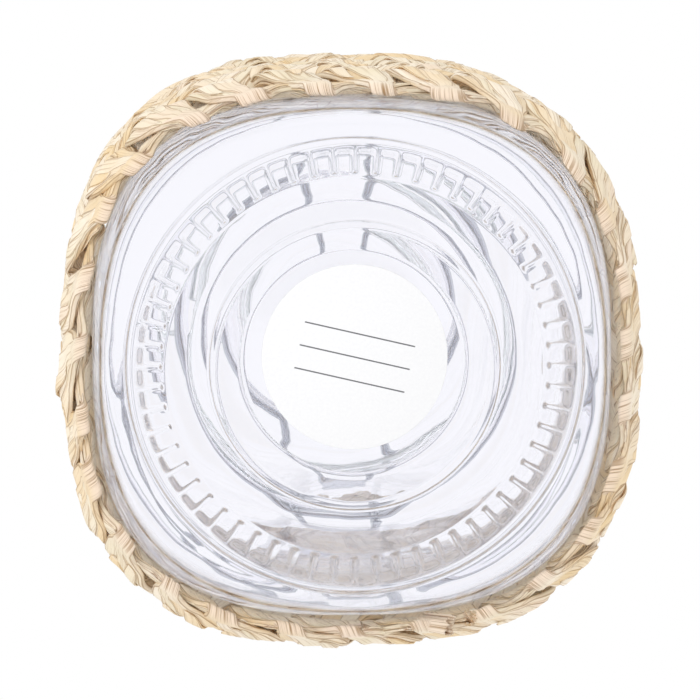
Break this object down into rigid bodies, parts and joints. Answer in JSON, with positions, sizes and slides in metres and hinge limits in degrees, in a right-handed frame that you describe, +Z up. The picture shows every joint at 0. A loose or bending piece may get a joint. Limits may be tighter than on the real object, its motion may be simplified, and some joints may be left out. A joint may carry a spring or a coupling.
{
  "type": "clip-top glass storage jar",
  "caption": "Rounded-square clear glass jar in a plaited rush sleeve, with a hinged glass lid on a seal and a wire clasp that hooks under the neck wire.",
  "frame": {"origin": "centre of the ring that the jar stands on, at the level of the table", "axes": "+Z up through the mouth, -Y towards the clasp, +Y towards the lid hinge"},
  "size_m": [0.1254, 0.1262, 0.1438],
  "materials": {
    "jar_glass": "clear, polished",
    "lid_glass": "clear, polished",
    "label_paper": "plain white paper sticker",
    "rush": "dry plaited leaf, matt",
    "seal_silicone": "translucent white, matt",
    "steel_wire": "drawn stainless wire, bright"
  },
  "bodies": {
    "jar": {"glass_jar": "jar_glass", "base_label": "label_paper", "neck_wire": "steel_wire", "plait_row1_strand1": "rush", "plait_row1_strand2": "rush", "plait_row1_strand3": "rush", "plait_row2_strand1": "rush", "plait_row2_strand2": "rush", "plait_row2_strand3": "rush", "plait_row3_strand1": "rush", "plait_row3_strand2": "rush", "plait_row3_strand3": "rush", "plait_row4_strand1": "rush", "plait_row4_strand2": "rush", "plait_row4_strand3": "rush"},
    "lid": {"glass_lid": "lid_glass", "seal_ring": "seal_silicone", "lid_wire": "steel_wire"},
    "clasp": {"clasp_lever": "steel_wire"}
  },
  "joints": [
    {"name": "lid_hinge", "type": "hinge", "parent": "jar", "child": "lid", "pos_m": [0, 0.0525, 0.134], "axis": [-1, 0, 0], "range_deg": [0, 110]},
    {"name": "clasp_swing", "type": "hinge", "parent": "lid", "child": "clasp", "pos_m": [0, -0.0525, 0.1397], "axis": [-1, 0, 0], "range_deg": [-8, 110]}
  ]
}
